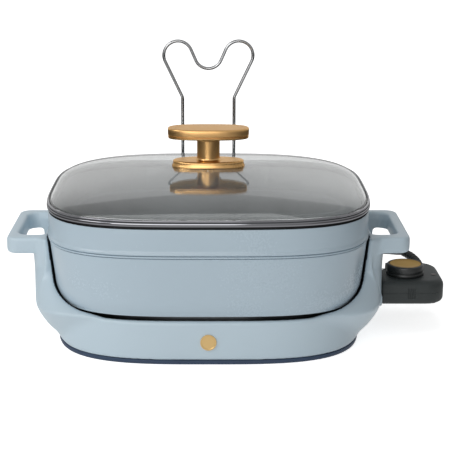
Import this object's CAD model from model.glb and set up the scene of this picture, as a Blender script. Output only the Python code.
"""Electric skillet with a glass lid, a wire lid rest and a plug-in heat control.

Every length is in millimetres, and a mesh is scaled to metres when it is made.
"""

import logging
import math
from collections.abc import Callable, Sequence
from dataclasses import dataclass, field
from enum import Enum

import bmesh
import bpy
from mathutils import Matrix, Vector


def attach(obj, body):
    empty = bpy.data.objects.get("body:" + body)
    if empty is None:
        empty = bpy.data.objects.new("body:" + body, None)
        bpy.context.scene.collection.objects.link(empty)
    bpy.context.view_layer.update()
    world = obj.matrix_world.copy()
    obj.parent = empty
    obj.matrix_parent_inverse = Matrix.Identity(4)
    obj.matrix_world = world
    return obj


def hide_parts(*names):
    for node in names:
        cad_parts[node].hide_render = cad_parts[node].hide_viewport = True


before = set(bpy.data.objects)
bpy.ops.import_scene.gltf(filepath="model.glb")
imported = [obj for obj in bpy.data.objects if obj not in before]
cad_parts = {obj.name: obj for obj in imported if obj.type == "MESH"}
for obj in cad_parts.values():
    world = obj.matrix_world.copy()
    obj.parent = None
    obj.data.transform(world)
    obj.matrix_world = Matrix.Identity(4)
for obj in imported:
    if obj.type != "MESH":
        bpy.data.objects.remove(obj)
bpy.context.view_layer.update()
MM = 0.001
# Points round the large ovals
ROUND = 240
# Edges that turn by more degrees than this stay crisp on a new piece, and are rounded on a solid
CRISP, ROUNDED = 38.0, 35.0
# Points of a solid that lie closer than this are one
WELD = 0.005
# Where the dial's upright axis stands
DIAL_AXIS = (224.5, -9.0)

log = logging.getLogger("skillet")

Point = tuple[float, float, float]
Flat = tuple[float, float]
Ring = list[Point]


def linear(colour: str) -> tuple[float, float, float, float]:
    """Turns an sRGB colour into the linear one that shaders take.

    Args:
        colour: The colour as "#RRGGBB".

    Returns:
        Linear red, green and blue, and an alpha of 1.
    """
    parts = [int(colour[i:i + 2], 16) / 255 for i in (1, 3, 5)]
    red, green, blue = (p / 12.92 if p <= 0.04045 else ((p + 0.055) / 1.055) ** 2.4 for p in parts)
    return red, green, blue, 1.0


def add_node(tree: bpy.types.NodeTree, kind: str, settings: dict | None = None,
             inputs: dict | None = None) -> bpy.types.Node:
    """Adds a node with its settings and links.

    Args:
        tree: The node tree that gets the node.
        kind: The node's type name.
        settings: Attributes of the node and their values.
        inputs: Sockets by name or number, each with a value or the output that feeds it.

    Returns:
        The new node.
    """
    node = tree.nodes.new(kind)
    for name, value in (settings or {}).items():
        setattr(node, name, value)
    for name, value in (inputs or {}).items():
        if isinstance(value, bpy.types.NodeSocket):
            tree.links.new(value, node.inputs[name])
        else:
            node.inputs[name].default_value = value
    return node


def clamp(value: float) -> float:
    """Keeps a value between 0 and 1."""
    return max(0.0, min(1.0, value))


def mix(a: float, b: float, share: float) -> float:
    """Goes from a to b by a share."""
    return a + (b - a) * share


def between(rows: Sequence[Flat], x: float) -> float:
    """Reads a value between rows of (x, value).

    Args:
        rows: The rows, x rising.
        x: Where the value is wanted.

    Returns:
        The value, held at the first and last row's beyond them.
    """
    for (x0, v0), (x1, v1) in zip(rows, rows[1:]):
        if x <= x1:
            return mix(v0, v1, clamp((x - x0) / (x1 - x0)))
    return rows[-1][1]


def reach(half_l: float, half_w: float, square: float, turn: float) -> float:
    """Distance from the middle of a squared oval to its edge, along a turn in radians."""
    across, along = abs(math.cos(turn)) / half_l, abs(math.sin(turn)) / half_w
    return (across ** square + along ** square) ** (-1 / square)


def oval(half_l: float, half_w: float, square: float, z: float, count: int = ROUND) -> Ring:
    """Points round a squared oval at a height.

    Args:
        half_l: Half its length.
        half_w: Half its width.
        square: How square it is; 2 is an ellipse.
        z: Its height.
        count: How many points it has.

    Returns:
        The points.
    """
    turns = [2 * math.pi * i / count for i in range(count)]
    spans = [reach(half_l, half_w, square, t) for t in turns]
    return [(r * math.cos(t), r * math.sin(t), z) for t, r in zip(turns, spans)]


def soft_box(low_x: float, high_x: float, half: float, radii: Flat, inset: float, z: float) -> Ring:
    """Points round a box with rounded corners, seen from above.

    Args:
        low_x: Its end nearer the middle.
        high_x: Its far end.
        half: Half its width.
        radii: Corner radius at the near end and at the far end.
        inset: How far the outline is drawn in.
        z: Its height.

    Returns:
        The points, 12 to each corner.
    """
    points = []
    for x, y, radius, start in ((high_x, -half, radii[1], -90), (high_x, half, radii[1], 0),
                                (low_x, half, radii[0], 90), (low_x, -half, radii[0], 180)):
        r = max(radius - inset, 0.2)
        cx = x - math.copysign(inset + r, x - (low_x + high_x) / 2)
        cy = y - math.copysign(inset + r, y)
        for i in range(12):
            a = math.radians(start + 90 * i / 11)
            points.append((cx + r * math.cos(a), cy + r * math.sin(a), z))
    return points


def arc(x: float, z: float, radius: float, start: float, end: float, steps: int = 24) -> list[Flat]:
    """Points along an arc about a centre, with its angles in degrees."""
    turns = [math.radians(mix(start, end, i / steps)) for i in range(steps + 1)]
    return [(x + radius * math.cos(a), z + radius * math.sin(a)) for a in turns]


def flipped(rings: Sequence[Ring], side: int) -> list[Ring]:
    """Leaves rings on the right for a side of 1, or mirrors them to the left for -1."""
    return [[(side * x, y, z) for x, y, z in ring] for ring in rings]


def smooth(points: Sequence[Point], steps: int) -> list[Point]:
    """Draws a smooth line through points.

    Args:
        points: The points that it passes.
        steps: How many steps it takes from each to the next.

    Returns:
        The points of the line.
    """
    known = [Vector(p) for p in points]
    known = [2 * known[0] - known[1], *known, 2 * known[-1] - known[-2]]
    line = []
    for a, b, c, d in zip(known, known[1:], known[2:], known[3:]):
        for i in range(steps):
            t = i / steps
            line.append(0.5 * (2 * b + (c - a) * t + (2 * a - 5 * b + 4 * c - d) * t * t
                               + (3 * b - a - 3 * c + d) * t ** 3))
    return [tuple(p) for p in [*line, known[-2]]]


class Pattern(Enum):
    """How the fine relief of a surface lies."""

    GRAINED = "even grain"
    BRUSHED = "fine lines along X"
    SPUN = "fine rings about an upright axis"
    DRAWN = "fine lines along Z"


@dataclass(frozen=True)
class Finish:
    """A material, and how its surface was made.

    Attributes:
        name: Material and process.
        colour: Its sRGB colour.
        roughness: Its middle roughness.
        metallic: 1 for bare metal.
        ior: Its index of refraction, left alone on metal.
        grain: Width of the fine relief.
        relief: Height of the fine relief.
        drift: Share by which the colour drifts over the surface.
        haze: How far the roughness drifts.
        patch: Width of that drift.
        coat: Weight of a clear coat.
        sheen: Level of its mirror light, 0.5 where the surface is clean and smooth.
        glance: The mirror light's colour at a glancing view.
        pattern: How the fine relief lies.
        axis: Where the rings' upright axis stands.
    """

    name: str
    colour: str
    roughness: float
    metallic: float = 0.0
    ior: float = 1.5
    grain: float = 1.2
    relief: float = 0.02
    drift: float = 0.05
    haze: float = 0.05
    patch: float = 45.0
    coat: float = 0.0
    sheen: float = 0.5
    glance: str = "#FFFFFF"
    pattern: Pattern = Pattern.GRAINED
    axis: Flat = (0.0, 0.0)

    def material(self) -> bpy.types.Material:
        """Gives the material, made once."""
        return bpy.data.materials.get(self.name) or self.make()

    def make(self) -> bpy.types.Material:
        """Makes the material from its shader.

        Returns:
            The new material.
        """
        made = bpy.data.materials.new(self.name)
        made.use_nodes = True
        made.diffuse_color = linear(self.colour)
        tree = made.node_tree
        tree.nodes.clear()
        surface = self.surface(tree)
        add_node(tree, "ShaderNodeOutputMaterial", inputs={"Surface": surface})
        return made

    def fine(self, tree: bpy.types.NodeTree, place: bpy.types.NodeSocket) -> bpy.types.NodeSocket:
        """Adds the fine relief.

        Args:
            tree: The material's node tree.
            place: Places on the object.

        Returns:
            The relief's height, from 0 to 1.
        """
        if self.pattern is Pattern.SPUN:
            shift = add_node(tree, "ShaderNodeMapping", inputs={
                "Vector": place, "Location": (-self.axis[0] * MM, -self.axis[1] * MM, 0)})
            # A ring pattern repeats every 0.314 of its own unit
            rings = add_node(tree, "ShaderNodeTexWave", {"wave_type": "RINGS", "rings_direction": "Z"}, {
                "Vector": shift.outputs[0], "Scale": 0.314 / (self.grain * MM), "Distortion": 1.5,
                "Detail": 2.0})
            return rings.outputs["Fac"]
        stretch = {Pattern.BRUSHED: (0.03, 1, 1), Pattern.DRAWN: (1, 1, 0.03)}.get(self.pattern, (1, 1, 1))
        laid = add_node(tree, "ShaderNodeMapping", inputs={"Vector": place, "Scale": stretch})
        noise = add_node(tree, "ShaderNodeTexNoise", inputs={
            "Vector": laid.outputs[0], "Scale": 1 / (self.grain * MM), "Detail": 3.0})
        return noise.outputs["Fac"]

    def surface(self, tree: bpy.types.NodeTree) -> bpy.types.NodeSocket:
        """Adds the shader with its colour, gloss and relief.

        Args:
            tree: The material's node tree.

        Returns:
            The shader's output.
        """
        place = add_node(tree, "ShaderNodeTexCoord").outputs["Object"]
        broad = add_node(tree, "ShaderNodeTexNoise", inputs={
            "Vector": place, "Scale": 1 / (self.patch * MM), "Detail": 2.0}).outputs["Fac"]
        fine = self.fine(tree, place)
        both = add_node(tree, "ShaderNodeMath", {"operation": "MULTIPLY_ADD"}, {0: fine, 1: 0.4, 2: broad})
        ramp = add_node(tree, "ShaderNodeValToRGB", inputs={"Fac": both.outputs[0]})
        base = linear(self.colour)
        for stop, where, level in zip(ramp.color_ramp.elements, (0.4, 1.0), (1 - self.drift, 1 + self.drift)):
            stop.position = where
            stop.color = (*(min(1.0, c * level) for c in base[:3]), 1.0)
        gloss = add_node(tree, "ShaderNodeMapRange", inputs={
            "Value": both.outputs[0], "From Min": 0.4, "From Max": 1.0,
            "To Min": max(0.02, self.roughness - self.haze), "To Max": min(1.0, self.roughness + self.haze)})
        bump = add_node(tree, "ShaderNodeBump", inputs={
            "Height": fine, "Distance": self.relief * MM, "Strength": 1.0})
        inputs = {"Base Color": ramp.outputs["Color"], "Metallic": self.metallic,
                  "Roughness": gloss.outputs[0], "Normal": bump.outputs[0], "Coat Weight": self.coat,
                  "Specular IOR Level": self.sheen, "Specular Tint": linear(self.glance)}
        if not self.metallic:
            inputs["IOR"] = self.ior
        return add_node(tree, "ShaderNodeBsdfPrincipled", inputs=inputs).outputs[0]


@dataclass(frozen=True)
class ClearFinish(Finish):
    """A see-through material.

    Attributes:
        clear: Share of the light that goes through.
    """

    clear: float = 1.0

    def surface(self, tree: bpy.types.NodeTree) -> bpy.types.NodeSocket:
        """Adds a clear shader that lets the light of lamps and surroundings through.

        Args:
            tree: The material's node tree.

        Returns:
            The shader's output.
        """
        place = add_node(tree, "ShaderNodeTexCoord").outputs["Object"]
        wipe = add_node(tree, "ShaderNodeTexNoise", inputs={
            "Vector": place, "Scale": 1 / (self.patch * MM), "Detail": 3.0})
        gloss = add_node(tree, "ShaderNodeMapRange", inputs={
            "Value": wipe.outputs["Fac"], "To Min": self.roughness, "To Max": self.roughness + self.haze})
        pane = add_node(tree, "ShaderNodeBsdfPrincipled", inputs={
            "Base Color": linear(self.colour), "Roughness": gloss.outputs[0], "IOR": self.ior,
            "Transmission Weight": self.clear})
        shade = add_node(tree, "ShaderNodeBsdfTransparent", inputs={"Color": linear(self.colour)})
        rays = add_node(tree, "ShaderNodeLightPath")
        passing = add_node(tree, "ShaderNodeMath", {"operation": "MAXIMUM"}, {
            0: rays.outputs["Is Shadow Ray"], 1: rays.outputs["Is Diffuse Ray"]})
        return add_node(tree, "ShaderNodeMixShader", inputs={
            0: passing.outputs[0], 1: pane.outputs[0], 2: shade.outputs[0]}).outputs[0]


# Glass-filled PBT from a polished mould: an even pale blue with a soft, broad sheen
BODY = Finish("moulded_pbt_pale_blue", "#BDCED8", 0.38, ior=1.55, grain=1.6, relief=0.004, drift=0.006,
              haze=0.015, patch=90.0)
# The same plastic in the shaded slot beside the pan, where the mould is left dark and dull
LINER = Finish("moulded_pbt_dark_liner", "#1B222C", 0.6, grain=1.5, relief=0.02)
# Sprayed and baked enamel on cast aluminium: slight orange peel under a smooth gloss
ENAMEL = Finish("sprayed_enamel_pale_blue", "#B1C2CD", 0.27, ior=1.52, grain=2.4, relief=0.002,
                drift=0.004, haze=0.008, patch=120.0)
# Grey non-stick coating: dull, with a fine grit that catches the light
COATING = Finish("sprayed_non_stick_coating", "#7C7E80", 0.42, grain=0.9, relief=0.03, drift=0.2, haze=0.1)
# The same coating over black primer on the lip under the lid, where it stays dark and dull
LIP = Finish("sprayed_black_primer_lip", "#0E0F11", 0.6, grain=0.9, relief=0.02, drift=0.1, sheen=0.25)
# Bare sand-cast aluminium: pale grey with a grainy skin
CASTING = Finish("sand_cast_aluminium", "#8B8E91", 0.5, 1.0, grain=1.1, relief=0.05, drift=0.12, haze=0.1)
# Moulded silicone: dark blue and dull, with a fine tooth
SILICONE = Finish("moulded_silicone_navy", "#33435A", 0.6, ior=1.43, grain=0.8, relief=0.03, drift=0.08)
# Polished stainless steel band: a clear mirror with faint rolling lines along it
POLISHED = Finish("polished_stainless_steel", "#8A8A8E", 0.07, 1.0, grain=0.9, relief=0.0015, drift=0.03,
                  haze=0.03)
# Bright drawn steel wire: a clear mirror with faint lines from the die
WIRE = Finish("drawn_stainless_wire", "#A4A5A6", 0.18, 1.0, grain=0.7, relief=0.003, drift=0.06, haze=0.04,
              pattern=Pattern.DRAWN)
# Satin brass, brushed along its length; the lines are drawn coarser than a real brush leaves, so they show
BRASS = Finish("satin_brushed_brass", "#DEB074", 0.3, 1.0, grain=0.8, relief=0.004, drift=0.06, haze=0.06,
               glance="#FFF4E2", pattern=Pattern.BRUSHED)
# Spun brass disc: rings drawn coarser than the tool leaves them, so they show
SPUN_BRASS = Finish("spun_brass_disc", "#9C8153", 0.38, 1.0, grain=1.3, relief=0.004, drift=0.09, haze=0.07,
                    glance="#EADCC0", pattern=Pattern.SPUN, axis=DIAL_AXIS)
# Turned brass badge with rings from the lathe
TURNED_BRASS = Finish("turned_brass_badge", "#CDAE78", 0.32, 1.0, grain=1.0, relief=0.004, drift=0.06)
# Brass contacts as drawn, slightly dulled
CONTACT = Finish("drawn_brass_contacts", "#C2A15E", 0.34, 1.0, grain=0.6, relief=0.006, drift=0.08)
# Spark-textured ABS: charcoal, dull, with a fine leathery tooth
SHELL = Finish("spark_textured_abs_charcoal", "#252B2B", 0.6, ior=1.54, grain=0.7, relief=0.03, drift=0.06)
# Phenolic dial from a polished mould: nearly black with a soft gloss
DIAL = Finish("moulded_phenolic_black", "#1B1E1E", 0.4, ior=1.6, grain=0.9, relief=0.015, drift=0.06)
# Flexible PVC of the lead: black and soft, with a slight sheen
LEAD = Finish("extruded_pvc_black", "#191A1B", 0.45, ior=1.53, grain=1.5, relief=0.03, drift=0.1)
# Moulded PVC of plug and boot, a little duller than the lead
PLUG = Finish("moulded_pvc_black", "#1E1F20", 0.5, ior=1.53, grain=0.8, relief=0.03, drift=0.08)
# Cold-rolled steel sheet with the rolls' faint lines
SHEET = Finish("cold_rolled_steel_sheet", "#77797B", 0.42, 1.0, grain=0.9, relief=0.01, drift=0.1,
               pattern=Pattern.BRUSHED)
# Heat-blued steel tray over the wiring
TRAY = Finish("heat_blued_steel_tray", "#3B3E45", 0.5, 1.0, grain=1.2, relief=0.015, drift=0.2)
# Zinc-plated screws
SCREW = Finish("zinc_plated_steel", "#B9BCBE", 0.3, 1.0, grain=0.5, relief=0.004, drift=0.08)
# Sheathed heating element, darkened by heat
ELEMENT = Finish("oxidised_steel_sheath", "#5B5551", 0.55, 1.0, grain=0.7, relief=0.02, drift=0.25)
# Fired steatite: white, slightly warm, with a faint glaze
CERAMIC = Finish("fired_steatite", "#E4E0D6", 0.35, ior=1.6, grain=0.9, relief=0.02, drift=0.04)
# Silicone of the knob's washers and of the glass's seat in its rim
WASHER = Finish("moulded_silicone_grey", "#3A3D40", 0.6, ior=1.43, grain=0.6, relief=0.02, drift=0.06)
# Clear red polycarbonate over the lamp, dark while it is off
LENS = ClearFinish("moulded_polycarbonate_red", "#2A0A09", 0.35, ior=1.4, haze=0.05, patch=2.0, clear=0.5)
# Tempered soda-lime glass, with the faintest haze from wiping
GLASS = ClearFinish("tempered_soda_lime_glass", "#F0F3F3", 0.0, ior=1.52, haze=0.015, patch=60.0)


@dataclass
class Shape:
    """Points and faces of a piece, gathered before its mesh is made.

    Attributes:
        points: The points.
        faces: Each face's points by number.
        kinds: Each face's finish by number.
    """

    points: list[Point] = field(default_factory=list)
    faces: list[tuple[int, ...]] = field(default_factory=list)
    kinds: list[int] = field(default_factory=list)

    def skin(self, rings: Sequence[Ring], kinds: int | Sequence[int] = 0, looped: bool = False) -> "Shape":
        """Adds a skin over rings of points.

        Args:
            rings: The rings, all with as many points.
            kinds: The finish of each band, or of all.
            looped: True where the last ring joins the first; otherwise both ends are closed.

        Returns:
            This shape.
        """
        first, count, bands = len(self.points), len(rings[0]), len(rings) - (not looped)
        finish = [kinds] * bands if isinstance(kinds, int) else list(kinds)
        self.points.extend(p for ring in rings for p in ring)
        for i in range(bands):
            low, high = first + i * count, first + (i + 1) % len(rings) * count
            for j in range(count):
                k = (j + 1) % count
                self.faces.append((low + j, low + k, high + k, high + j))
                self.kinds.append(finish[i])
        if not looped:
            last = first + (len(rings) - 1) * count
            self.faces += [tuple(range(first + count - 1, first - 1, -1)), tuple(range(last, last + count))]
            self.kinds += [finish[0], finish[-1]]
        return self

    def turned(self, profile: Sequence[Flat], x: float, y: float, z: float, count: int = 120) -> "Shape":
        """Adds a piece turned about an upright axis, from rows of radius and height above z."""
        turns = [2 * math.pi * i / count for i in range(count)]
        return self.skin([[(x + r * math.cos(t), y + r * math.sin(t), z + h) for t in turns]
                          for r, h in profile])

    def tube(self, path: Sequence[Point], radii: Sequence[float], sides: int = 20) -> "Shape":
        """Adds a tube along a path.

        Args:
            path: The points that it follows.
            radii: Its radius at each of them.
            sides: How many points each ring has.

        Returns:
            This shape.
        """
        line = [Vector(p) for p in path]
        rings, side = [], None
        for i, (p, r) in enumerate(zip(line, radii)):
            ahead = (line[min(i + 1, len(line) - 1)] - line[max(i - 1, 0)]).normalized()
            if side is None:
                side = ahead.orthogonal()
            side = (side - ahead * side.dot(ahead)).normalized()
            across = ahead.cross(side)
            turns = [2 * math.pi * j / sides for j in range(sides)]
            rings.append([tuple(p + r * (side * math.cos(t) + across * math.sin(t))) for t in turns])
        return self.skin(rings)

    def block(self, low: Point, high: Point) -> "Shape":
        """Adds a block between its lowest and its highest corner."""
        corners = [(low[0], low[1]), (high[0], low[1]), (high[0], high[1]), (low[0], high[1])]
        return self.skin([[(x, y, z) for x, y in corners] for z in (low[2], high[2])])

    def solid(self, name: str) -> bpy.types.Object:
        """Makes the mesh object.

        Args:
            name: The object's name.

        Returns:
            The object, in the scene, with its faces turned outward.
        """
        mesh = bpy.data.meshes.new(name)
        mesh.from_pydata([tuple(v * MM for v in p) for p in self.points], [], self.faces)
        mesh.polygons.foreach_set("material_index", self.kinds)
        work = bmesh.new()
        work.from_mesh(mesh)
        bmesh.ops.recalc_face_normals(work, faces=work.faces)
        work.to_mesh(mesh)
        work.free()
        made = bpy.data.objects.new(name, mesh)
        bpy.context.scene.collection.objects.link(made)
        return made

    def piece(self, name: str, body: str, slot: str, nodes: Sequence[str],
              *finishes: Finish) -> bpy.types.Object:
        """Makes the mesh object and dresses it."""
        return dress(self.solid(name), body, slot, nodes, *finishes)


def dress(piece: bpy.types.Object, body: str, slot: str, nodes: Sequence[str],
          *finishes: Finish) -> bpy.types.Object:
    """Gives a piece its finishes, its body and the solids that it stands for.

    Args:
        piece: The mesh or curve, in place.
        body: The body that it rides on.
        slot: The material slot that it takes its finish from.
        nodes: The solids that it stands for.
        *finishes: Its finishes, in the order of the faces' numbers.

    Returns:
        The piece.
    """
    for finish in finishes:
        piece.data.materials.append(finish.material())
    if piece.type == "MESH":
        piece.data.shade_smooth()
        piece.data.set_sharp_from_angle(angle=math.radians(CRISP))
    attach(piece, body)
    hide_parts(*nodes)
    log.info("%s rides on %s for %s", piece.name, body, ", ".join(nodes))
    return piece


def settle(piece: bpy.types.Object) -> bpy.types.Object:
    """Turns a piece's modifiers into its mesh.

    Args:
        piece: The mesh object.

    Returns:
        The same object, with no modifier left.
    """
    bpy.context.view_layer.update()
    shaped = piece.evaluated_get(bpy.context.evaluated_depsgraph_get())
    mesh, old = bpy.data.meshes.new_from_object(shaped), piece.data
    piece.modifiers.clear()
    piece.data = mesh
    bpy.data.meshes.remove(old)
    return piece


def cut(piece: bpy.types.Object, tool: Shape) -> bpy.types.Object:
    """Cuts a shape out of a piece.

    Args:
        piece: The mesh object.
        tool: The shape that is taken away.

    Returns:
        The same object, cut.
    """
    knife = tool.solid("knife")
    step = piece.modifiers.new("cut", "BOOLEAN")
    step.operation, step.solver, step.object = "DIFFERENCE", "EXACT", knife
    settle(piece)
    mesh = knife.data
    bpy.data.objects.remove(knife)
    bpy.data.meshes.remove(mesh)
    return piece


def soften(piece: bpy.types.Object, voxel: float, passes: int) -> bpy.types.Object:
    """Joins a piece's shells into one even skin with soft edges.

    Args:
        piece: The mesh object.
        voxel: The skin's mesh width.
        passes: How often the skin is smoothed.

    Returns:
        The same object.
    """
    join = piece.modifiers.new("join", "REMESH")
    join.mode, join.voxel_size, join.use_smooth_shade = "VOXEL", voxel * MM, True
    if passes:
        ease = piece.modifiers.new("ease", "SMOOTH")
        ease.factor, ease.iterations = 0.5, passes
    return settle(piece)


def dress_solid(node: str, finish: Finish, edge: float = 0.0) -> None:
    """Gives a solid that stays in view its finish and rounds its edges.

    Args:
        node: The solid's name.
        finish: Its finish.
        edge: Width of the rounding.
    """
    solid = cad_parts[node]
    solid.data.materials.clear()
    solid.data.materials.append(finish.material())
    if edge:
        weld = solid.modifiers.new("weld", "WELD")
        weld.merge_threshold = WELD * MM
        bevel = solid.modifiers.new("edges", "BEVEL")
        bevel.width, bevel.segments, bevel.limit_method = edge * MM, 3, "ANGLE"
        bevel.angle_limit = math.radians(ROUNDED)
        solid.modifiers.new("even", "WEIGHTED_NORMAL")
    log.info("%s dressed in %s", node, finish.name)


@dataclass(frozen=True)
class Viewpoint:
    """The camera, placed as the photographer stood.

    Attributes:
        distance: From the camera to the point that it faces.
        height: Height of that point.
        pitch: How far it looks down, in degrees.
        lens: Focal length.
        shift: Share of the picture by which the view moves right.
    """

    distance: float = 1538.0
    height: float = 113.6
    pitch: float = 14.4
    lens: float = 108.0
    shift: float = 0.0369

    def build(self) -> None:
        """Makes the camera and hands it to the scene."""
        data = bpy.data.cameras.new("camera")
        data.lens, data.sensor_width, data.shift_x = self.lens, 36.0, self.shift
        data.clip_start, data.clip_end = 0.01, 50.0
        camera = bpy.data.objects.new("camera", data)
        down = math.radians(self.pitch)
        camera.location = (0, -self.distance * math.cos(down) * MM,
                           (self.height + self.distance * math.sin(down)) * MM)
        camera.rotation_euler = (math.radians(90) - down, 0, 0)
        bpy.context.scene.collection.objects.link(camera)
        bpy.context.scene.camera = camera
        log.info("camera stands %.0f mm away", self.distance)


@dataclass(frozen=True)
class Lead:
    """The lead from the control, with its boot, its coil behind the base and its plug.

    Attributes:
        radius: The lead's radius.
        start: Where the boot leaves the control.
        boot: The boot's steps from there.
        run: The lead's way down from the boot's end.
        coil: Middle of the coil.
        coil_r: Radius of its outer turn.
        coil_turn: The coil's whole turn, in degrees.
        coil_step: Degrees from one of its points to the next.
        turn_step: How far the next turn lies inside.
        low_z: Height of the lead on the floor.
        layer: Height from one layer of turns to the next.
        straight: Length without a bend at both ends of the coil.
        tail: Where the lead enters the plug.
    """

    radius: float = 3.5
    start: Point = (249.3, 43.0, 49.5)
    boot: tuple[Point, ...] = ((0, 0, 0), (0, 8, 0.8), (-2, 18, 4), (-7, 28, 7.5), (-14, 38, 9.5))
    run: tuple[Point, ...] = (
        (229, 86, 57.6), (218, 99, 55), (206, 112, 51.4), (194, 125, 46.8), (183, 138, 41), (173, 151, 34.5),
        (165, 164, 26.5), (159, 177, 18.5), (155, 190, 11.5), (153, 202, 7), (152, 214, 4.7))
    coil: Flat = (110.0, 222.0)
    coil_r: float = 42.0
    coil_turn: int = 900
    coil_step: int = 15
    turn_step: float = 7.8
    low_z: float = 4.7
    layer: float = 7.6
    straight: float = 3.5
    tail: Point = (68.0, 202.0, 12.3)

    def boot_line(self, steps: int) -> list[Point]:
        """Gives the boot's middle line in steps to each of its points."""
        return smooth([tuple(a + b for a, b in zip(self.start, p)) for p in self.boot], steps)

    def line(self) -> list[Point]:
        """Draws the lead's middle line from the boot to the plug.

        Returns:
            The points, close together.
        """
        x, y = self.coil
        points = [self.boot_line(1)[-1], *self.run, (x + self.coil_r, y, self.low_z),
                  (x + self.coil_r, y + self.straight, self.low_z)]
        for turn in range(2 * self.coil_step, self.coil_turn + 1, self.coil_step):
            r = self.coil_r - self.turn_step * min(turn, self.coil_turn - turn) / 360
            # After a full turn it climbs to the next layer over half a turn
            z = self.low_z + self.layer * clamp((turn - 360) / 180)
            a = math.radians(turn)
            points.append((x + r * math.cos(a), y + r * math.sin(a), z))
        points += [(x - self.coil_r, y - self.straight, self.tail[2]), self.tail]
        return smooth(points, 4)

    def build(self) -> None:
        """Makes the lead, the boot and the plug."""
        line = self.line()
        data = bpy.data.curves.new("supply_lead", "CURVE")
        data.dimensions, data.bevel_depth, data.bevel_resolution = "3D", self.radius * MM, 6
        data.use_fill_caps = True
        spline = data.splines.new("POLY")
        spline.points.add(len(line) - 1)
        for point, place in zip(spline.points, line):
            point.co = (*(v * MM for v in place), 1)
        lead = bpy.data.objects.new("supply_lead", data)
        bpy.context.scene.collection.objects.link(lead)
        dress(lead, "control", "lead_black", ("cord_run", "cord_coil"), LEAD)
        plug = self.plug()
        self.relief()
        dress_solid("plug_blades", CONTACT, 0.3)
        dress_solid("cord_tie", PLUG, 0.3)

    def relief(self) -> None:
        """Makes the ribbed boot where the lead leaves the control."""
        path = self.boot_line(30)
        # Shares of the length where the grooves begin and end, their number and their depth
        begin, end, grooves, deep = 0.13, 0.95, 9, 0.9
        wide, narrow, round_off = 6.6, 4.7, 0.6
        radii = []
        for i in range(len(path)):
            s = i / (len(path) - 1)
            wave = math.cos(2 * math.pi * grooves * (s - begin) / (end - begin))
            groove = 0.5 - 0.5 * wave if begin <= s <= end else 0.0
            radii.append(mix(wide, narrow, s) - deep * groove * groove)
        radii[-1] = radii[-2] - round_off
        Shape().tube(path, radii, 28).piece("relief_boot", "control", "lead_black", ("strain_relief",), PLUG)

    def plug(self) -> bpy.types.Object:
        """Makes the plug's moulding.

        Returns:
            The piece.
        """
        x, y, z = self.tail
        # Distance from the lead, half width, half height and squareness
        rows = ((0, 4.2, 4.2, 2), (-0.6, 5, 5, 2), (-4, 5.2, 5.2, 2), (-4.6, 4.5, 4.5, 2),
                (-5.6, 4.5, 4.5, 2), (-6.2, 5.6, 5.6, 2), (-9, 6.2, 6.2, 2.1), (-11.5, 8.2, 8.6, 2.4),
                (-14, 10, 11, 2.9), (-18, 10.4, 11.7, 3.2), (-25, 10.2, 11.5, 3.4), (-29, 10.4, 11.7, 3.6),
                (-29.8, 10, 11.3, 3.6), (-30, 9.2, 10.5, 3.6))
        rings = []
        for back, half_x, half_z, square in rows:
            flat = oval(half_x, half_z, square, 0, 48)
            rings.append([(x + a, y + back, z + b) for a, b, _ in flat])
        return Shape().skin(rings).piece("plug_moulding", "control", "lead_black", ("plug_body",), PLUG)


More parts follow.
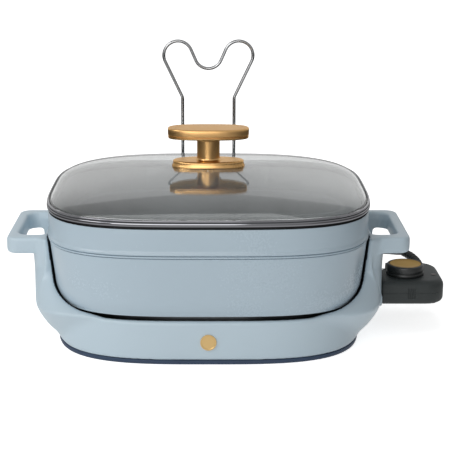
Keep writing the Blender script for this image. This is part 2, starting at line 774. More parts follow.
@dataclass(frozen=True)
class Pan:
    """The cast pan with its painted side, bead, collar and coated inside.

    Attributes:
        half_l: Half its length at the collar.
        half_w: Half its width there.
        square: How square its side is.
        low_square: How square its underside and floor are.
        foot_z: Height of its underside.
        skirt_z: Height where its painted side ends.
        side_z: Height where its side meets the bead.
        collar_z: Height of the collar's foot.
        lip_z: Height of the collar's top edge.
        rim_z: Height of its rim.
        side_in: Inset of the side's top.
        draft: How far the side leans in.
        turn_r: Radius of the side's lower turn.
        under_r: Radius of the underside's turn.
        under_in: Inset of the underside's turn.
        inside_r: Radius of the inside's turn.
        wall: Thickness of its wall.
        floor: Thickness of its floor.
    """

    half_l: float = 177.0
    half_w: float = 162.0
    square: float = 3.6
    low_square: float = 2.8
    foot_z: float = 34.0
    skirt_z: float = 52.4
    side_z: float = 117.9
    collar_z: float = 121.9
    lip_z: float = 149.6
    rim_z: float = 152.6
    side_in: float = 1.6
    draft: float = 4.8
    turn_r: float = 42.0
    under_r: float = 18.4
    under_in: float = 20.7
    inside_r: float = 50.0
    wall: float = 3.5
    floor: float = 4.5

    def inset(self, z: float) -> float:
        """How far the side lies inside the collar.

        Args:
            z: The height.

        Returns:
            The inset there.
        """
        turn_z = self.foot_z + self.turn_r
        if z >= turn_z:
            return self.side_in + self.draft * clamp((self.side_z - z) / (self.side_z - turn_z))
        drop = turn_z - max(z, self.foot_z)
        return self.side_in + self.draft + self.turn_r - math.sqrt(self.turn_r ** 2 - drop ** 2)

    def ring(self, inset: float, z: float, square: float) -> Ring:
        """Gives the pan's outline drawn in by an inset at a height."""
        return oval(self.half_l - inset, self.half_w - inset, square, z)

    def build(self) -> None:
        """Makes the pan."""
        enamel, coating, casting, lip = 0, 1, 2, 3
        rows: list[tuple[float, float, float, int]] = [(self.under_in + self.under_r + 3, self.foot_z,
                                                        self.low_square, casting)]
        for i in range(11):
            t = math.radians(90 - 9 * i)
            rows.append((self.under_in + self.under_r * (1 - math.cos(t)),
                         self.skirt_z - self.under_r * math.sin(t), self.low_square, casting))
        skirt = self.inset(self.skirt_z)
        # The painted side ends in a slight roll
        for inset, up in ((0.9, 0), (0.0, 0.3), (-0.4, 1.0), (-0.45, 1.8)):
            rows.append((skirt + inset, self.skirt_z + up, self.square, enamel))
        for i in range(1, 25):
            z = mix(self.skirt_z + 2.2, self.side_z, i / 24)
            rows.append((self.inset(z), z, self.square, enamel))
        # The bead is a rounded ridge between two grooves, and the collar flares a little towards it
        for inset, up in (
                (2.9, 0.25), (3.1, 0.7), (1.2, 1.0), (0.5, 1.4), (0.3, 2.0), (0.55, 2.6), (1.2, 2.95),
                (3.0, 3.2), (3.0, 3.6), (0.5, 3.9), (0.05, 4.4), (0.0, 5.6), (0.15, 6.1), (0.9, 7.3),
                (1.15, 8.0), (1.2, 9.6)):
            rows.append((inset, self.side_z + up, self.square, enamel))
        rows += [(0.4, self.lip_z - 1.2, self.square, enamel), (0.5, self.lip_z - 0.4, self.square, enamel),
                 (0.9, self.lip_z, self.square, enamel), (1.9, self.lip_z + 0.05, self.square, lip),
                 (2.0, self.rim_z - 0.5, self.square, lip), (2.4, self.rim_z, self.square, lip),
                 (5.2, self.rim_z, self.square, coating), (5.6, self.rim_z - 0.5, self.square, coating)]
        inside_in = self.side_in + self.draft + self.wall + self.inside_r
        inside_z = self.foot_z + self.floor + self.inside_r
        # A ledge runs round the inside behind the bead
        low_in = inside_in - self.inside_r
        for inset, z in ((6.3, self.collar_z), (6.8, self.collar_z - 1), (low_in - 0.6, self.side_z + 1.6),
                         (low_in, self.side_z + 0.6), (low_in, mix(self.side_z, inside_z, 0.5))):
            rows.append((inset, z, self.square, coating))
        for i in range(16):
            t = math.radians(6 * i)
            z = inside_z - self.inside_r * math.sin(t)
            square = mix(self.low_square, self.square, clamp((z - self.skirt_z) / (inside_z - self.skirt_z)))
            rows.append((inside_in - self.inside_r * math.cos(t), z, square, coating))
        rows.append((inside_in + 3, self.foot_z + self.floor, self.low_square, coating))
        shape = Shape().skin([self.ring(*row[:3]) for row in rows], [row[3] for row in rows[1:]])
        shape.piece("pan_casting", "pan", "enamel_blue", ("pan",), ENAMEL, COATING, CASTING, LIP)


@dataclass(frozen=True)
class Cradle:
    """The base moulding: a low ring, two uprights that hold the pan, and two loop handles.

    Attributes:
        pan: The pan that it holds.
        gap: Clearance round the pan.
        half_l: Half the ring's length.
        half_w: Half its width.
        foot_z: Height of its lower edge.
        ring_z: Height of the ring's top at the front.
        sweep_z: Height where the uprights' edges start to sweep out.
        top_z: Height of the uprights.
        sweep_top: Half an upright's width at its top.
        sweep_low: Half its width where it meets the ring.
        sweep_power: How the sweep curves.
        wall: Thickness of its wall.
        squares: How square the ring is at its foot and at its top.
        arm_square: How square the uprights' outside is.
        arm_low: Half the width of that outside at the foot.
        merge: How sharply ring and uprights meet.
        grip_in: Where a handle starts.
        grip_x: Where it ends.
        grip_half: Half its width.
        grip_low: Height of its underside.
        grip_corners: Radius of its inner and of its outer corners.
        hole_x: Where a handle's opening starts and ends.
        hole_half: Half the opening's width.
        hole_corners: Radius of its inner and of its outer corners.
        socket: Corners of the wall behind the control's socket, and of a cheek on either side of its nose.
        wells: Corners of the blocks that are cut out for the socket.
        arm_out: Rows of height and how far the uprights stand out there.
    """

    pan: Pan = Pan()
    gap: float = 2.0
    half_l: float = 168.5
    half_w: float = 150.0
    foot_z: float = 4.9
    ring_z: float = 47.4
    sweep_z: float = 84.0
    top_z: float = 116.0
    sweep_top: float = 72.0
    sweep_low: float = 135.0
    sweep_power: float = 1.55
    wall: float = 7.0
    squares: Flat = (3.3, 3.5)
    arm_square: float = 5.0
    arm_low: float = 95.0
    merge: float = 60.0
    grip_in: float = 184.0
    grip_x: float = 222.0
    grip_half: float = 66.0
    grip_low: float = 97.5
    grip_corners: Flat = (3.0, 13.0)
    hole_x: Flat = (182.0, 209.0)
    hole_half: float = 48.0
    hole_corners: Flat = (5.5, 11.0)
    socket: tuple[tuple[Point, Point], ...] = (
        ((182.3, -30, 24), (192.5, 30, 62)), ((186, -51, 32.4), (194.6, -43.6, 46)),
        ((186, 43.6, 32.4), (194.6, 51, 46)))
    wells: tuple[tuple[Point, Point], ...] = (
        ((156.5, -26, 20), (184.3, 26, 59)), ((184.0, -24, 35.5), (195, 24, 54.5)))
    arm_out: tuple[Flat, ...] = (
        (6, 167.3), (15, 177.2), (24, 183.3), (41, 190.3), (62, 192.9), (90, 195.6), (116, 198))

    def arm_x(self, z: float) -> float:
        """How far the uprights stand out at a height."""
        return between([p[:2] for p in smooth([(*p, 0.0) for p in self.arm_out], 6)], z)

    def side(self, turn: float, z: float) -> float:
        """Reach of the clear space round the pan's side in a direction at a height."""
        inset = self.pan.inset(z) - self.gap
        return reach(self.pan.half_l - inset, self.pan.half_w - inset, self.pan.square, turn)

    def ring(self, turn: float, z: float) -> float:
        """Reach of the low ring's outside in a direction at a height."""
        square = mix(*self.squares, clamp((z - self.foot_z) / (self.ring_z - self.foot_z)))
        return reach(self.half_l, self.half_w, square, turn)

    def inside(self, turn: float, z: float) -> float:
        """Reach of the cradle's inside.

        Args:
            turn: The direction, in radians.
            z: The height.

        Returns:
            The distance from the middle.
        """
        knee = self.pan.skirt_z - self.gap
        # Below the knee the inside draws in by this much for each step down
        slope = 4
        under = reach(self.pan.half_l - self.pan.under_in + self.gap,
                      self.pan.half_w - self.pan.under_in + self.gap, self.pan.low_square, turn)
        side = self.side(turn, max(z, knee)) - slope * max(0.0, knee - z)
        return max(side, under, self.ring(turn, z) - self.wall)

    def sweep_y(self, z: float) -> float:
        """Half an upright's width at a height."""
        share = clamp((self.sweep_z - z) / (self.sweep_z - self.ring_z))
        return self.sweep_top + (self.sweep_low - self.sweep_top) * share ** self.sweep_power

    def sweep_height(self, y: float) -> float:
        """Height of the sweeping edge at a distance from the middle."""
        share = clamp((y - self.sweep_top) / (self.sweep_low - self.sweep_top))
        return self.sweep_z - (self.sweep_z - self.ring_z) * share ** (1 / self.sweep_power)

    def edge(self, turn: float, z: float) -> float:
        """How far along Y the pan's clear space reaches in a direction."""
        return self.side(turn, z) * abs(math.sin(turn))

    def top(self, turn: float) -> float:
        """Height of the cradle's edge.

        Args:
            turn: The direction, in radians.

        Returns:
            The height there.
        """
        y = self.edge(turn, self.sweep_z)
        if y <= self.sweep_top:
            return self.top_z
        return self.sweep_height(self.edge(turn, self.sweep_height(y)))

    def crown(self, z: float) -> float:
        """Half the width of the oval that bounds an upright.

        Args:
            z: The height.

        Returns:
            The half width that puts the upright's edge on its sweep.
        """
        y, inset, power = self.sweep_y(z), self.pan.inset(z) - self.gap, self.pan.square
        side_x = (self.pan.half_l - inset) * (1 - (y / (self.pan.half_w - inset)) ** power) ** (1 / power)
        share = (side_x + self.wall) / self.arm_x(z)
        return y / (1 - share ** self.arm_square) ** (1 / self.arm_square)

    def outside(self, turn: float, z: float) -> float:
        """Reach of the cradle's outside.

        Args:
            turn: The direction, in radians.
            z: The height.

        Returns:
            The distance from the middle.
        """
        half = self.crown(max(z, self.ring_z))
        if z < self.ring_z:
            half = mix(self.arm_low, half, (z - self.foot_z) / (self.ring_z - self.foot_z))
        arm = reach(self.arm_x(z), half, self.arm_square, turn)
        return (self.ring(turn, z) ** self.merge + arm ** self.merge) ** (1 / self.merge)

    def section(self, turn: float) -> Ring:
        """Cuts the wall in one direction.

        Args:
            turn: The direction, in radians.

        Returns:
            The points round the cut.
        """
        top = self.top(turn)
        knee = min(self.pan.skirt_z - self.gap, top - 3)
        rows = [(self.outside(turn, z), z) for z in (mix(self.foot_z, top - 2, i / 28) for i in range(29))]
        rows += [(self.outside(turn, top) - 2, top), (self.inside(turn, top) + 1, top)]
        rows += [(self.inside(turn, z), z) for z in (mix(top - 1, knee, i / 14) for i in range(15))]
        rows += [(self.inside(turn, z), z) for z in (mix(knee, self.foot_z, i / 10) for i in range(1, 11))]
        return [(r * math.cos(turn), r * math.sin(turn), z) for r, z in rows]

    def turns(self) -> list[float]:
        """Lists the directions of the cuts, with a pair at each upright's steep edge.

        Returns:
            The directions, in radians.
        """
        low, high = 0.0, math.pi / 2
        for _ in range(40):
            middle = (low + high) / 2
            low, high = (middle, high) if self.edge(middle, self.sweep_z) <= self.sweep_top else (low, middle)
        steep = math.degrees(low)
        edges = [steep, 180 - steep, 180 + steep, 360 - steep]
        kept = [i * 1.25 for i in range(288) if all(abs(i * 1.25 - e) > 0.8 for e in edges)]
        return [math.radians(d) for d in sorted(kept + [e + s for e in edges for s in (-0.6, 0.6)])]

    def handle(self, side: int) -> Shape:
        """Gives one handle's bar before its opening is cut.

        Args:
            side: 1 on the right, -1 on the left.

        Returns:
            The shape.
        """
        rows = ((3, 0), (1.5, 0.35), (0.55, 1.1), (0.1, 2.2), (0, 3.4), (0, 15.1), (0.1, 16.3), (0.55, 17.4),
                (1.5, 18.15), (3, 18.5))
        rings = [soft_box(self.grip_in, self.grip_x, self.grip_half, self.grip_corners, inset,
                          self.grip_low + up) for inset, up in rows]
        return Shape().skin(flipped(rings, side))

    def build(self) -> None:
        """Makes the cradle in one skin, with its dark inner wall."""
        shape = Shape().skin([self.section(t) for t in self.turns()], looped=True)
        for side in (1, -1):
            bar, first = self.handle(side), len(shape.points)
            shape.points += bar.points
            shape.faces += [tuple(first + i for i in face) for face in bar.faces]
            shape.kinds += bar.kinds
        for low, high in self.socket:
            shape.block(low, high)
        moulding = soften(shape.solid("cradle_moulding"), voxel=1.5, passes=0)
        rows = ((6, 84), (2, 85.2), (0, 88), (0, 109), (-1.2, 114), (-4, 119))
        rings = [soft_box(*self.hole_x, self.hole_half, self.hole_corners, inset, z) for inset, z in rows]
        opening = Shape().skin(flipped(rings, 1)).skin(flipped(rings, -1))
        for low, high in self.wells:
            opening.block(low, high)
        soften(cut(moulding, opening), voxel=1.4, passes=5)
        # The liner takes the faces that lean in by more than this and lie this near to the inside
        lean, near = 0.35, 1.2
        for face in moulding.data.polygons:
            x, y, z = (v / MM for v in face.center)
            turn, span = math.atan2(y, x), math.hypot(x, y)
            inward = face.normal.x * math.cos(turn) + face.normal.y * math.sin(turn) < -lean
            face.material_index = int(inward and span < self.inside(turn, z) + near)
        dress(moulding, "base", "body_blue", ("cradle",), BODY, LINER)

    def build_foot(self) -> None:
        """Makes the dark ring that the base stands on."""
        rows = ((1.6, 0), (0.5, 0.4), (0.1, 1.2), (0.1, 4.2), (0.6, 4.8), (9.4, 4.8), (10, 4.2), (10, 0.6),
                (9, 0))
        rings = [oval(self.half_l - inset, self.half_w - inset, self.squares[0], z) for inset, z in rows]
        Shape().skin(rings, looped=True).piece("foot_band", "base", "trim_navy", ("foot_ring",), SILICONE)

    def dress_inside(self) -> None:
        """Dresses the heater and the hardware that the base carries."""
        for node, finish, edge in (
                ("bottom_cover", SHEET, 0.3), ("cover_screws", SCREW, 0.3), ("heat_shield", TRAY, 0.2),
                ("plate_standoffs", CERAMIC, 0.3), ("heater_plate", CASTING, 0.8),
                ("heating_element", ELEMENT, 0.0), ("terminal_block", CERAMIC, 0.5),
                ("badge", TURNED_BRASS, 0.25), ("lid_rest_bracket", BODY, 1.6),
                ("bracket_screws", SCREW, 0.3)):
            dress_solid(node, finish, edge)


@dataclass(frozen=True)
class Lid:
    """The glass lid with its steel rim and brass knob.

    Attributes:
        half_l: Half its length.
        half_w: Half its width.
        square: How square its edge is.
        seat_z: Height of the rim's underside.
        glass_z: Height of the glass's edge underneath.
        glass: Thickness of the glass.
        dome: How high the glass rises.
        fall: How it falls off towards its edge.
        bend_in: How far inside the rim the dome starts.
        edge_in: How far inside the rim the glass ends.
        knob_z: Height of the knob's base plate.
        post_r: Radius of the knob's post.
        foot: Half length, half width and squareness of the base plate.
        bar: The same of the grip.
        washer_z: Height of the washer's underside.
    """

    half_l: float = 177.5
    half_w: float = 162.5
    square: float = 3.6
    seat_z: float = 152.6
    glass_z: float = 153.95
    glass: float = 4.0
    dome: float = 27.0
    fall: float = 1.28
    bend_in: float = 3.0
    edge_in: float = 1.5
    knob_z: float = 183.45
    post_r: float = 12.8
    foot: Point = (41.0, 21.0, 2.3)
    bar: Point = (45.5, 22.0, 2.7)
    washer_z: float = 176.95

    def rise(self, share: float) -> float:
        """Height of the dome above the glass's edge, from a share that is 1 at the edge."""
        return self.dome * math.sqrt(1 - share ** self.fall)

    def lean(self, share: float) -> Flat:
        """Which way the dome faces.

        Args:
            share: 0 in the middle and 1 at the edge.

        Returns:
            The parts of the unit normal that point outwards and upwards.
        """
        fall = self.dome * self.fall * share ** (self.fall - 1)
        run = math.sqrt(1 - share ** self.fall) * (self.half_l + self.half_w)
        length = math.hypot(fall, run)
        return fall / length, run / length

    def build_glass(self) -> None:
        """Makes the glass dome, equally thick all over."""
        hole, low, high = 3.6, self.glass_z, self.glass_z + self.glass
        half_l, half_w = self.half_l - self.bend_in, self.half_w - self.bend_in
        edge_l, edge_w = self.half_l - self.edge_in, self.half_w - self.edge_in
        # Close together at the edge, where the glass turns down
        shares = [1 - 0.96 * (i / 48) ** 1.6 for i in range(49)]
        top, under = [], []
        for s in shares:
            out, up = self.lean(s)
            for rings, deep in ((top, 0), (under, self.glass)):
                rings.append(oval(half_l * s - deep * out, half_w * s - deep * out,
                                  mix(2, self.square, s), high + self.rise(s) - deep * up))
        rings = [oval(half_l - self.glass, half_w - self.glass, self.square, low),
                 oval(edge_l, edge_w, self.square, low), oval(edge_l, edge_w, self.square, high), *top,
                 oval(hole, hole, 2, high + self.dome), oval(hole, hole, 2, low + self.dome),
                 *reversed(under)]
        Shape().skin(rings, looped=True).piece("glass_dome", "lid", "lid_glass", ("lid_glass",), GLASS)

    def build_rim(self) -> None:
        """Makes the rolled steel rim round the glass."""
        # An upright lower roll, a groove, and a finer roll over the glass
        rows = ((0.9, 0), (0.25, 0.2), (0, 0.7), (0.05, 2.4), (0.2, 3.4), (0.6, 3.9), (1.4, 4.1), (1.4, 4.9),
                (0.75, 5.1), (0.6, 5.6), (0.75, 6.1), (1.2, 6.55), (1.8, 6.8), (2.4, 6.7), (2.6, 6.3))
        # Below it the glass's seat and the lip that goes down into the pan
        seat = ((2.6, 5.5), (1.3, 5.5), (1.3, 1.2), (8.4, 1.2), (8.4, -4.6), (8.1, -5), (7.5, -5),
                (7.2, -4.6), (7.2, 0))
        rings = [oval(self.half_l - inset, self.half_w - inset, self.square, self.seat_z + up)
                 for inset, up in rows + seat]
        # Grey silicone shows in the groove, and makes the seat and the lip
        kinds = [0] * 5 + [1] * 3 + [0] * (len(rows) - 8) + [1] * (len(seat) - 1) + [0]
        Shape().skin(rings, kinds, looped=True).piece(
            "steel_rim", "lid", "bright_steel", ("lid_rim",), POLISHED, WASHER)

    def plate(self, outline: Point, z: float, rows: Sequence[Flat]) -> Shape:
        """Gives a squared oval plate from rows of inset and height above z."""
        half_l, half_w, square = outline
        return Shape().skin([oval(half_l - inset, half_w - inset, square, z + up) for inset, up in rows])

    def build_knob(self) -> None:
        """Makes the knob's base plate, post, grip and washer."""
        foot_h, post_h, fillet = 6.5, 24.9, 3
        # The plate's skirt reaches down beside its gasket
        rows = ((9, 0), (3.4, 0), (2.6, -1.1), (0.7, -1.25), (0.1, -0.8), (0, 0), (0.3, 0.9), (1.2, 3.2),
                (1.3, 3.8), (1.1, 4.4), (1.25, 5.2), (1.8, 5.9), (2.8, 6.35), (4.5, foot_h), (9, foot_h))
        self.plate(self.foot, self.knob_z, rows).piece(
            "knob_foot", "lid", "satin_gold", ("knob_base",), BRASS)
        # The post flares out in a fillet at both ends
        turns = [math.radians(9 * i) for i in range(11)]
        rows = [(self.post_r + fillet - fillet * math.sin(t), fillet - fillet * math.cos(t)) for t in turns]
        rows += [(r, post_h - z) for r, z in reversed(rows)]
        Shape().turned(rows, 0, 0, self.knob_z + foot_h).piece(
            "knob_stem", "lid", "satin_gold", ("knob_post",), BRASS)
        grip_z = self.knob_z + foot_h + post_h
        rows = ((2.2, 0), (0.8, 0.3), (0.3, 1.2), (0.3, 2.4), (0.9, 2.8), (0.9, 3.2), (0.2, 3.7), (0, 4.8),
                (0, 10.2), (0.15, 10.8), (0.6, 11.3), (1.3, 11.6), (2.0, 11.7), (5, 11.72), (16, 11.75))
        self.plate(self.bar, grip_z, rows).piece("knob_bar", "lid", "satin_gold", ("knob_grip",), BRASS)
        # The washer reaches up to the glass
        rows = ((3.8, 0), (8.7, 0), (9, 0.3), (9, 3.4), (8.7, 3.65), (3.8, 3.8))
        Shape().turned(rows, 0, 0, self.washer_z).piece(
            "rubber_washer", "lid", "soft_black", ("knob_washer",), WASHER)
        for node, finish, edge in (("knob_gasket", WASHER, 0.2), ("knob_screw", SCREW, 0.3)):
            dress_solid(node, finish, edge)


@dataclass(frozen=True)
class LidRest:
    """The bent wire behind the pan that takes the lid by its knob.

    Attributes:
        radius: The wire's radius.
        y: Where it stands behind the base.
        leg_x: Where its legs stand.
        leg_low: Height of the legs' ends.
        knee_z: Height where the legs bend out.
        knee_r: Radius of that bend.
        ear: Middle of each ear.
        ear_r: Radius of the ears.
        notch_z: Height of the notch's middle.
        notch_r: Radius of the notch.
    """

    radius: float = 2.0
    y: float = 172.0
    leg_x: float = 31.9
    leg_low: float = 12.4
    knee_z: float = 233.0
    knee_r: float = 9.0
    ear: Flat = (37.4, 285.2)
    ear_r: float = 17.5
    notch_z: float = 285.8
    notch_r: float = 17.0

    def half(self) -> list[Flat]:
        """Draws one half of the wire from the notch down a leg.

        Returns:
            The points.
        """
        across, up = self.ear[0], self.ear[1] - self.notch_z
        meet = (self.ear_r + self.notch_r) / math.hypot(across, up)
        tilt = math.degrees(math.atan2(up, across) + math.asin(meet))
        over, down = self.ear[0] - self.leg_x, self.ear[1] - self.knee_z
        splay = math.degrees(math.atan2(over, down) + math.asin(self.ear_r / math.hypot(over, down)))
        bend_z = self.knee_z - self.knee_r * math.tan(math.radians(splay / 2))
        return [*arc(0, self.notch_z, self.notch_r, -90, tilt - 90),
                *arc(*self.ear, self.ear_r, 90 + tilt, -splay),
                *arc(self.leg_x + self.knee_r, bend_z, self.knee_r, 180 - splay, 180, 12),
                (self.leg_x, mix(bend_z, self.leg_low, 0.5)), (self.leg_x, self.leg_low)]

    def build(self) -> None:
        """Makes the wire."""
        half = self.half()
        flat = [(-x, z) for x, z in reversed(half)] + half[1:]
        path = [(x, self.y, z) for x, z in flat]
        Shape().tube(path, [self.radius] * len(path), 24).piece(
            "wire_rest", "lid_rest", "bright_steel", ("lid_rest",), WIRE)


@dataclass(frozen=True)
class HeatControl:
    """The heat control that plugs into the base, with its dial.

    Attributes:
        low_x: Its inner end.
        high_x: Its free end.
        half: Half its width.
        low_z: Height of its underside.
        seam_z: Height where its shells meet.
        high_z: Height of its top.
        corners: Radius of its inner and of its outer corners.
        holes: Place along Y and radius of the holes in its nose.
        hole_deep: Depth of those holes.
        grooves: How many grooves its grip has on each side.
        groove_step: Distance from one to the next.
        groove_r: Radius of a groove.
        groove_half: Half the height of a groove.
        shoulder: Corner of the step behind the dial.
        axis: Where the dial's axis stands.
        dial_z: Height of the dial's underside.
        dial_r: Radius of the dial.
        dial_h: Height of the dial.
    """

    low_x: float = 192.8
    high_x: float = 266.5
    half: float = 43.0
    low_z: float = 32.0
    seam_z: float = 45.0
    high_z: float = 58.5
    corners: Flat = (4.0, 22.0)
    holes: tuple[Flat, ...] = ((-12.0, 4.1), (0.0, 4.4), (12.0, 4.1))
    hole_deep: float = 20.4
    grooves: int = 4
    groove_step: float = 2.4
    groove_r: float = 0.7
    groove_half: float = 6.0
    shoulder: Point = (208.5, 6.5, 49.6)
    axis: Flat = DIAL_AXIS
    dial_z: float = 58.8
    dial_r: float = 21.3
    dial_h: float = 12.2

    def shell(self, rows: Sequence[Flat]) -> Shape:
        """Gives a shell's skin from rows of inset and height."""
        return Shape().skin([soft_box(self.low_x, self.high_x, self.half, self.corners, inset, z)
                             for inset, z in rows])

    def sockets(self) -> Shape:
        """Gives the holes in the nose and the grip's grooves.

        Returns:
            The shape that is cut away.
        """
        tool = Shape()
        for y, r in self.holes:
            # They start a little outside the nose
            tool.tube([(self.low_x + x, y, self.seam_z) for x in (-2, self.hole_deep)], [r, r], 32)
        for side in (-1, 1):
            for i in range(self.grooves):
                x, y = self.axis[0] + self.groove_step * i, side * self.half
                ends = [(x, y, self.seam_z + z) for z in (-self.groove_half, self.groove_half)]
                tool.tube(ends, [self.groove_r] * 2, 12)
        return tool

    def build(self) -> None:
        """Makes the two shells."""
        s, t, b = self.seam_z, self.high_z, self.low_z
        rows = ((0.3, s), (0.05, s + 0.2), (0, t - 8), (0.35, t - 5.8), (1.3, t - 3.5), (2.9, t - 1.6),
                (5.0, t - 0.45), (7.6, t))
        upper = cut(self.shell(rows).solid("control_upper"), self.sockets())
        # The shoulder steps down behind the dial
        x, y, z = self.shoulder
        step = Shape().block((self.low_x - 1, y, z), (x, self.half + 1, t + 1))
        dress(cut(upper, step), "control", "charcoal", ("control_top",), SHELL)
        rows = ((5.4, b), (3.2, b + 0.3), (1.5, b + 1.4), (0.5, b + 3), (0, b + 5.4), (0.05, s - 0.2),
                (0.3, s))
        lower = self.shell(rows).solid("control_lower")
        dress(cut(lower, self.sockets()), "control", "charcoal", ("control_bottom",), SHELL)
        for node, finish, edge in (
                ("control_screws", SCREW, 0.2), ("probe", POLISHED, 0.3), ("contact_sleeves", CONTACT, 0.2),
                ("thermostat", CERAMIC, 0.5), ("indicator_lens", LENS, 0.3)):
            dress_solid(node, finish, edge)

    def build_dial(self) -> None:
        """Makes the dial and its cap."""
        r, h, (x, y) = self.dial_r, self.dial_h, self.axis
        rows = ((r - 1, 0), (r - 0.1, 0.4), (r, 1), (r, 3.1), (r - 0.25, 3.5), (r - 0.9, 3.7), (r - 0.9, 4.3),
                (r - 0.5, 4.6), (r - 0.4, 5), (r - 0.4, h - 1.7), (r - 0.7, h - 0.7), (r - 1.5, h - 0.1),
                (r - 2.4, h), (r - 2.75, h - 0.2), (r - 2.8, h - 1.6), (6, h - 1.6))
        knob = Shape().turned(rows, x, y, self.dial_z).solid("dial_knob")
        top = self.dial_z + h
        # A slot in its edge marks the setting
        cut(knob, Shape().block((x - 0.7, y - r - 1.5, top - 1), (x + 0.7, y - r + 1.5, top + 1)))
        dress(knob, "dial", "charcoal", ("dial",), DIAL)
        rows = ((17.6, -1.55), (17.85, -1.3), (17.85, -0.3), (17.5, 0), (16.7, 0), (16.2, -0.2), (9, -0.25),
                (2, -0.25))
        Shape().turned(rows, x, y, top).piece("dial_disc", "dial", "satin_gold", ("dial_cap",), SPUN_BRASS)
        dress_solid("dial_shaft", SCREW, 0.2)


@dataclass(frozen=True)
class Studio:
    """A white sheet of paper on a pale floor, and soft light from the front left.

    Attributes:
        floor: Width of the floor.
        left: Level of the light from the left.
        right: Level of the light from the right.
        overhead: Level that mirrors show above and in front of the object.
        backdrop: Level that they show behind it.
        boards: Level that they show low on both sides.
        lamps: Each lamp's name, place, width and power.
    """

    floor: float = 24000.0
    left: float = 0.37
    right: float = 0.13
    overhead: float = 0.58
    backdrop: float = 0.82
    boards: float = 0.42
    lamps: tuple[tuple[str, Point, float, float], ...] = (
        ("left_box", (-1300, -900, 1300), 900, 9.8),
        ("front_box", (-450, -1900, 700), 1200, 11.5),
        ("top_box", (-100, 250, 1700), 1100, 5.8))

    def build(self) -> None:
        """Makes the floor, the lamps and the surrounding light."""
        bpy.context.scene.view_settings.view_transform = "Standard"
        half = self.floor / 2
        ground = Shape(points=[(-half, -half, 0), (half, -half, 0), (half, half, 0), (-half, half, 0)],
                       faces=[(0, 1, 2, 3)], kinds=[0]).solid("floor")
        ground.data.materials.append(self.paper())
        for name, place, width, power in self.lamps:
            data = bpy.data.lights.new(name, "AREA")
            data.shape, data.size, data.energy = "SQUARE", width * MM, power
            lamp = bpy.data.objects.new(name, data)
            lamp.location = [v * MM for v in place]
            aim = Vector((0, 0, 0.1)) - lamp.location
            lamp.rotation_euler = aim.to_track_quat("-Z", "Y").to_euler()
            # The lamp above would show as a band in the glass
            lamp.visible_glossy = name != "top_box"
            bpy.context.scene.collection.objects.link(lamp)
        self.surround()

    def seen(self, tree: bpy.types.NodeTree) -> bpy.types.NodeSocket:
        """Tells the rays that show the background from those that light.

        Args:
            tree: The node tree.

        Returns:
            1 where the background shows, by itself, in a mirror or through glass.
        """
        rays = add_node(tree, "ShaderNodeLightPath")
        first = add_node(tree, "ShaderNodeMath", {"operation": "MAXIMUM"}, {
            0: rays.outputs["Is Camera Ray"], 1: rays.outputs["Is Glossy Ray"]})
        return add_node(tree, "ShaderNodeMath", {"operation": "MAXIMUM"}, {
            0: first.outputs[0], 1: rays.outputs["Is Transmission Ray"]}).outputs[0]

    def paper(self) -> bpy.types.Material:
        """Makes the white floor, which keeps the object's shadow.

        Returns:
            The material.
        """
        made = bpy.data.materials.new("white_paper")
        made.use_nodes = True
        # So large a sheet gives less noise where it isn't sampled as a lamp
        made.cycles.emission_sampling = "NONE"
        tree = made.node_tree
        tree.nodes.clear()
        # Distances in the nodes are in metres
        place = add_node(tree, "ShaderNodeTexCoord").outputs["Object"]
        away = add_node(tree, "ShaderNodeVectorMath", {"operation": "LENGTH"}, {0: place})
        glow = add_node(tree, "ShaderNodeMapRange", {"interpolation_type": "SMOOTHSTEP"}, {
            "Value": away.outputs["Value"], "From Min": 0.2, "From Max": 1.0, "To Min": 0.76, "To Max": 1.0})
        light = add_node(tree, "ShaderNodeEmission", inputs={"Strength": glow.outputs[0]})
        sheet = add_node(tree, "ShaderNodeBsdfDiffuse", inputs={"Color": linear("#F2F2F2")})
        both = add_node(tree, "ShaderNodeAddShader", inputs={0: light.outputs[0], 1: sheet.outputs[0]})
        # The paper passes a little light from below
        share = add_node(tree, "ShaderNodeMapRange", inputs={
            "Value": self.seen(tree), "To Min": 0.12, "To Max": 1.0})
        shown = add_node(tree, "ShaderNodeMixShader", inputs={
            0: share.outputs[0], 1: sheet.outputs[0], 2: both.outputs[0]})
        # Mirrors show a sheet on a floor that darkens to the sides, which gives bright metal its dark edges
        sheet_end = add_node(tree, "ShaderNodeMapRange", {"interpolation_type": "SMOOTHSTEP"}, {
            "Value": away.outputs["Value"], "From Min": 0.3, "From Max": 0.6, "To Min": 0.9, "To Max": 0.55})
        across = add_node(tree, "ShaderNodeSeparateXYZ", inputs={0: place}).outputs["X"]
        aside = add_node(tree, "ShaderNodeMath", {"operation": "ABSOLUTE"}, {0: across})
        dim = add_node(tree, "ShaderNodeMapRange", {"interpolation_type": "SMOOTHSTEP"}, {
            "Value": aside.outputs[0], "From Min": 0.4, "From Max": 0.8, "To Min": 1.0, "To Max": 0.1})
        level = add_node(tree, "ShaderNodeMath", {"operation": "MULTIPLY"}, {
            0: sheet_end.outputs[0], 1: dim.outputs[0]})
        mirrored = add_node(tree, "ShaderNodeEmission", inputs={"Strength": level.outputs[0]})
        rays = add_node(tree, "ShaderNodeLightPath")
        final = add_node(tree, "ShaderNodeMixShader", inputs={
            0: rays.outputs["Is Glossy Ray"], 1: shown.outputs[0], 2: mirrored.outputs[0]})
        add_node(tree, "ShaderNodeOutputMaterial", inputs={"Surface": final.outputs[0]})
        return made

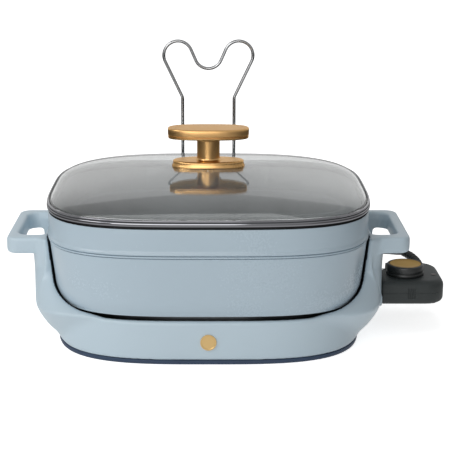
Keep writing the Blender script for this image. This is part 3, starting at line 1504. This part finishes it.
    def surround(self) -> None:
        """Makes the light from all round, white where it shows."""
        world = bpy.data.worlds.new("surround")
        bpy.context.scene.world = world
        world.use_nodes = True
        tree = world.node_tree
        tree.nodes.clear()
        way = add_node(tree, "ShaderNodeTexCoord").outputs["Generated"]
        axes = add_node(tree, "ShaderNodeSeparateXYZ", inputs={0: way}).outputs
        fill = add_node(tree, "ShaderNodeMapRange", inputs={
            "Value": axes["X"], "From Min": -1.0, "From Max": 1.0, "To Min": self.left, "To Max": self.right})
        shown = add_node(tree, "ShaderNodeMapRange", inputs={
            "Value": self.seen(tree), "To Min": fill.outputs[0], "To Max": 1.0})
        # The white backdrop ends 30 degrees up, and mirrors show the darker room above and in front
        low = add_node(tree, "ShaderNodeMapRange", {"interpolation_type": "SMOOTHSTEP"}, {
            "Value": axes["Z"], "From Min": 0.5, "From Max": 0.52, "To Min": 1.0, "To Max": 0.0})
        back = add_node(tree, "ShaderNodeMapRange", {"interpolation_type": "SMOOTHSTEP"}, {
            "Value": axes["Y"], "From Min": 0.4, "From Max": 0.65})
        drop = add_node(tree, "ShaderNodeMath", {"operation": "MULTIPLY"}, {
            0: low.outputs[0], 1: back.outputs[0]})
        # Two dark boards stand beside it
        aside = add_node(tree, "ShaderNodeMath", {"operation": "ABSOLUTE"}, {0: axes["X"]})
        board = add_node(tree, "ShaderNodeMapRange", {"interpolation_type": "SMOOTHSTEP"}, {
            "Value": aside.outputs[0], "From Min": 0.5, "From Max": 0.7})
        beside = add_node(tree, "ShaderNodeMath", {"operation": "MULTIPLY"}, {
            0: low.outputs[0], 1: board.outputs[0]})
        front = add_node(tree, "ShaderNodeMapRange", inputs={
            "Value": beside.outputs[0], "To Min": self.overhead, "To Max": self.boards})
        room = add_node(tree, "ShaderNodeMapRange", inputs={
            "Value": drop.outputs[0], "To Min": front.outputs[0], "To Max": self.backdrop})
        rays = add_node(tree, "ShaderNodeLightPath")
        level = add_node(tree, "ShaderNodeMapRange", inputs={
            "Value": rays.outputs["Is Glossy Ray"], "To Min": shown.outputs[0], "To Max": room.outputs[0]})
        light = add_node(tree, "ShaderNodeBackground", inputs={
            "Color": (1.0, 1.0, 1.0, 1.0), "Strength": level.outputs[0]})
        add_node(tree, "ShaderNodeOutputWorld", inputs={"Surface": light.outputs[0]})


def build_all() -> None:
    """Builds every sub-assembly in order."""
    cradle, lid, control = Cradle(), Lid(), HeatControl()
    steps: list[Callable[[], None]] = [
        Viewpoint().build, Lead().build, cradle.build, cradle.build_foot, cradle.dress_inside, Pan().build,
        lid.build_glass, lid.build_rim, lid.build_knob, LidRest().build, control.build, control.build_dial,
        Studio().build]
    for step in steps:
        step()


def main() -> None:
    """Builds the skillet."""
    logging.basicConfig(level=logging.INFO, format="%(name)s: %(message)s")
    build_all()


if __name__ == "__main__":
    main()
